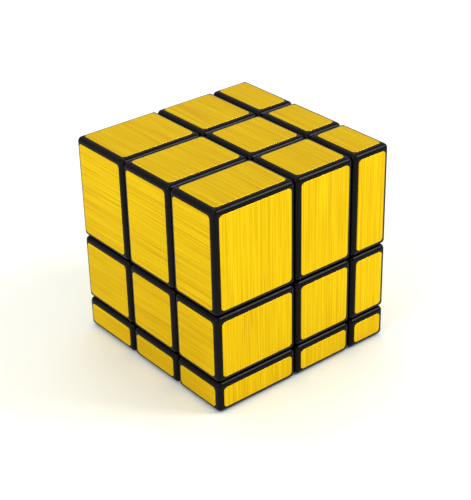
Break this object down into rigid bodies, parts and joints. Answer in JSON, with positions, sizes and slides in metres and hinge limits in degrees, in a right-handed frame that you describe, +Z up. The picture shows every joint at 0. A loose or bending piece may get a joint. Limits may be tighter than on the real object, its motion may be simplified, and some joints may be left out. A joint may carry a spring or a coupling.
{
  "type": "mirror block cube",
  "caption": "Cube-shaped twisty puzzle of unequal black blocks faced with brushed gold foil; each outer layer turns on a sprung core hidden inside.",
  "frame": {"origin": "middle of the base of the solved cube", "axes": "+Z up out of the face with the thickest layer, -Y to the front, +X to the right, where the blocks are thinner"},
  "size_m": [0.057, 0.057, 0.057],
  "materials": {
    "black_plastic": "moulded black plastic with a satin gloss",
    "mechanism_plastic": "moulded black plastic, polished where it slides",
    "gold_foil": "straight-brushed gold foil",
    "hardware_steel": "bright zinc-plated steel"
  },
  "bodies": {
    "core": {"core_spider": "mechanism_plastic", "axle_hardware": "hardware_steel"},
    "top_centre": {"centre_top": "mechanism_plastic", "cap_top": "black_plastic", "foil_top": "gold_foil"},
    "front_centre": {"centre_front": "mechanism_plastic", "cap_front": "black_plastic", "foil_front": "gold_foil"},
    "left_centre": {"centre_left": "mechanism_plastic", "cap_left": "black_plastic", "foil_left": "gold_foil"},
    "right_centre": {"centre_right": "mechanism_plastic", "cap_right": "black_plastic", "foil_right": "gold_foil"},
    "back_centre": {"centre_back": "mechanism_plastic", "cap_back": "black_plastic", "foil_back": "gold_foil"},
    "bottom_centre": {"centre_bottom": "mechanism_plastic", "cap_bottom": "black_plastic", "foil_bottom": "gold_foil"},
    "top_front_edge": {"edge_top_front": "black_plastic", "foils_top_front": "gold_foil"},
    "top_back_edge": {"edge_top_back": "black_plastic", "foils_top_back": "gold_foil"},
    "top_left_edge": {"edge_top_left": "black_plastic", "foils_top_left": "gold_foil"},
    "top_right_edge": {"edge_top_right": "black_plastic", "foils_top_right": "gold_foil"},
    "bottom_front_edge": {"edge_bottom_front": "black_plastic", "foils_bottom_front": "gold_foil"},
    "bottom_back_edge": {"edge_bottom_back": "black_plastic", "foils_bottom_back": "gold_foil"},
    "bottom_left_edge": {"edge_bottom_left": "black_plastic", "foils_bottom_left": "gold_foil"},
    "bottom_right_edge": {"edge_bottom_right": "black_plastic", "foils_bottom_right": "gold_foil"},
    "front_left_edge": {"edge_front_left": "black_plastic", "foils_front_left": "gold_foil"},
    "front_right_edge": {"edge_front_right": "black_plastic", "foils_front_right": "gold_foil"},
    "back_left_edge": {"edge_back_left": "black_plastic", "foils_back_left": "gold_foil"},
    "back_right_edge": {"edge_back_right": "black_plastic", "foils_back_right": "gold_foil"},
    "top_front_left_corner": {"corner_top_front_left": "black_plastic", "foils_top_front_left": "gold_foil"},
    "top_front_right_corner": {"corner_top_front_right": "black_plastic", "foils_top_front_right": "gold_foil"},
    "top_back_left_corner": {"corner_top_back_left": "black_plastic", "foils_top_back_left": "gold_foil"},
    "top_back_right_corner": {"corner_top_back_right": "black_plastic", "foils_top_back_right": "gold_foil"},
    "bottom_front_left_corner": {"corner_bottom_front_left": "black_plastic", "foils_bottom_front_left": "gold_foil"},
    "bottom_front_right_corner": {"corner_bottom_front_right": "black_plastic", "foils_bottom_front_right": "gold_foil"},
    "bottom_back_left_corner": {"corner_bottom_back_left": "black_plastic", "foils_bottom_back_left": "gold_foil"},
    "bottom_back_right_corner": {"corner_bottom_back_right": "black_plastic", "foils_bottom_back_right": "gold_foil"}
  },
  "joints": [
    {"name": "top_turn", "type": "hinge", "parent": "core", "child": "top_centre", "pos_m": [0.0065, -0.0017, 0.0185], "axis": [0, 0, 1], "continuous": true},
    {"name": "front_turn", "type": "hinge", "parent": "core", "child": "front_centre", "pos_m": [0.0065, -0.0017, 0.0185], "axis": [0, 1, 0], "continuous": true},
    {"name": "left_turn", "type": "hinge", "parent": "core", "child": "left_centre", "pos_m": [0.0065, -0.0017, 0.0185], "axis": [1, 0, 0], "continuous": true},
    {"name": "right_turn", "type": "hinge", "parent": "core", "child": "right_centre", "pos_m": [0.0065, -0.0017, 0.0185], "axis": [1, 0, 0], "continuous": true},
    {"name": "back_turn", "type": "hinge", "parent": "core", "child": "back_centre", "pos_m": [0.0065, -0.0017, 0.0185], "axis": [0, 1, 0], "continuous": true},
    {"name": "bottom_turn", "type": "hinge", "parent": "core", "child": "bottom_centre", "pos_m": [0.0065, -0.0017, 0.0185], "axis": [0, 0, 1], "continuous": true},
    {"name": "top_front_edge_with_front", "type": "hinge", "parent": "top_centre", "child": "top_front_edge", "pos_m": [0.0065, -0.0017, 0.0185], "axis": [0, 1, 0], "continuous": true},
    {"name": "top_back_edge_with_back", "type": "hinge", "parent": "top_centre", "child": "top_back_edge", "pos_m": [0.0065, -0.0017, 0.0185], "axis": [0, 1, 0], "continuous": true},
    {"name": "top_left_edge_with_top", "type": "hinge", "parent": "left_centre", "child": "top_left_edge", "pos_m": [0.0065, -0.0017, 0.0185], "axis": [0, 0, 1], "continuous": true},
    {"name": "top_right_edge_with_top", "type": "hinge", "parent": "right_centre", "child": "top_right_edge", "pos_m": [0.0065, -0.0017, 0.0185], "axis": [0, 0, 1], "continuous": true},
    {"name": "bottom_front_edge_with_front", "type": "hinge", "parent": "bottom_centre", "child": "bottom_front_edge", "pos_m": [0.0065, -0.0017, 0.0185], "axis": [0, 1, 0], "continuous": true},
    {"name": "bottom_back_edge_with_back", "type": "hinge", "parent": "bottom_centre", "child": "bottom_back_edge", "pos_m": [0.0065, -0.0017, 0.0185], "axis": [0, 1, 0], "continuous": true},
    {"name": "bottom_left_edge_with_bottom", "type": "hinge", "parent": "left_centre", "child": "bottom_left_edge", "pos_m": [0.0065, -0.0017, 0.0185], "axis": [0, 0, 1], "continuous": true},
    {"name": "bottom_right_edge_with_bottom", "type": "hinge", "parent": "right_centre", "child": "bottom_right_edge", "pos_m": [0.0065, -0.0017, 0.0185], "axis": [0, 0, 1], "continuous": true},
    {"name": "front_left_edge_with_left", "type": "hinge", "parent": "front_centre", "child": "front_left_edge", "pos_m": [0.0065, -0.0017, 0.0185], "axis": [1, 0, 0], "continuous": true},
    {"name": "front_right_edge_with_right", "type": "hinge", "parent": "front_centre", "child": "front_right_edge", "pos_m": [0.0065, -0.0017, 0.0185], "axis": [1, 0, 0], "continuous": true},
    {"name": "back_left_edge_with_left", "type": "hinge", "parent": "back_centre", "child": "back_left_edge", "pos_m": [0.0065, -0.0017, 0.0185], "axis": [1, 0, 0], "continuous": true},
    {"name": "back_right_edge_with_right", "type": "hinge", "parent": "back_centre", "child": "back_right_edge", "pos_m": [0.0065, -0.0017, 0.0185], "axis": [1, 0, 0], "continuous": true},
    {"name": "top_front_left_corner_with_left", "type": "hinge", "parent": "top_front_edge", "child": "top_front_left_corner", "pos_m": [0.0065, -0.0017, 0.0185], "axis": [1, 0, 0], "continuous": true},
    {"name": "top_front_right_corner_with_right", "type": "hinge", "parent": "top_front_edge", "child": "top_front_right_corner", "pos_m": [0.0065, -0.0017, 0.0185], "axis": [1, 0, 0], "continuous": true},
    {"name": "top_back_left_corner_with_left", "type": "hinge", "parent": "top_back_edge", "child": "top_back_left_corner", "pos_m": [0.0065, -0.0017, 0.0185], "axis": [1, 0, 0], "continuous": true},
    {"name": "top_back_right_corner_with_right", "type": "hinge", "parent": "top_back_edge", "child": "top_back_right_corner", "pos_m": [0.0065, -0.0017, 0.0185], "axis": [1, 0, 0], "continuous": true},
    {"name": "bottom_front_left_corner_with_left", "type": "hinge", "parent": "bottom_front_edge", "child": "bottom_front_left_corner", "pos_m": [0.0065, -0.0017, 0.0185], "axis": [1, 0, 0], "continuous": true},
    {"name": "bottom_front_right_corner_with_right", "type": "hinge", "parent": "bottom_front_edge", "child": "bottom_front_right_corner", "pos_m": [0.0065, -0.0017, 0.0185], "axis": [1, 0, 0], "continuous": true},
    {"name": "bottom_back_left_corner_with_left", "type": "hinge", "parent": "bottom_back_edge", "child": "bottom_back_left_corner", "pos_m": [0.0065, -0.0017, 0.0185], "axis": [1, 0, 0], "continuous": true},
    {"name": "bottom_back_right_corner_with_right", "type": "hinge", "parent": "bottom_back_edge", "child": "bottom_back_right_corner", "pos_m": [0.0065, -0.0017, 0.0185], "axis": [1, 0, 0], "continuous": true}
  ],
  "couplings": [
    {"joint": "top_front_edge_with_front", "follows": "front_turn", "ratio": 1},
    {"joint": "top_back_edge_with_back", "follows": "back_turn", "ratio": 1},
    {"joint": "top_left_edge_with_top", "follows": "top_turn", "ratio": 1},
    {"joint": "top_right_edge_with_top", "follows": "top_turn", "ratio": 1},
    {"joint": "bottom_front_edge_with_front", "follows": "front_turn", "ratio": 1},
    {"joint": "bottom_back_edge_with_back", "follows": "back_turn", "ratio": 1},
    {"joint": "bottom_left_edge_with_bottom", "follows": "bottom_turn", "ratio": 1},
    {"joint": "bottom_right_edge_with_bottom", "follows": "bottom_turn", "ratio": 1},
    {"joint": "front_left_edge_with_left", "follows": "left_turn", "ratio": 1},
    {"joint": "front_right_edge_with_right", "follows": "right_turn", "ratio": 1},
    {"joint": "back_left_edge_with_left", "follows": "left_turn", "ratio": 1},
    {"joint": "back_right_edge_with_right", "follows": "right_turn", "ratio": 1},
    {"joint": "top_front_left_corner_with_left", "follows": "left_turn", "ratio": 1},
    {"joint": "top_front_right_corner_with_right", "follows": "right_turn", "ratio": 1},
    {"joint": "top_back_left_corner_with_left", "follows": "left_turn", "ratio": 1},
    {"joint": "top_back_right_corner_with_right", "follows": "right_turn", "ratio": 1},
    {"joint": "bottom_front_left_corner_with_left", "follows": "left_turn", "ratio": 1},
    {"joint": "bottom_front_right_corner_with_right", "follows": "right_turn", "ratio": 1},
    {"joint": "bottom_back_left_corner_with_left", "follows": "left_turn", "ratio": 1},
    {"joint": "bottom_back_right_corner_with_right", "follows": "right_turn", "ratio": 1}
  ]
}
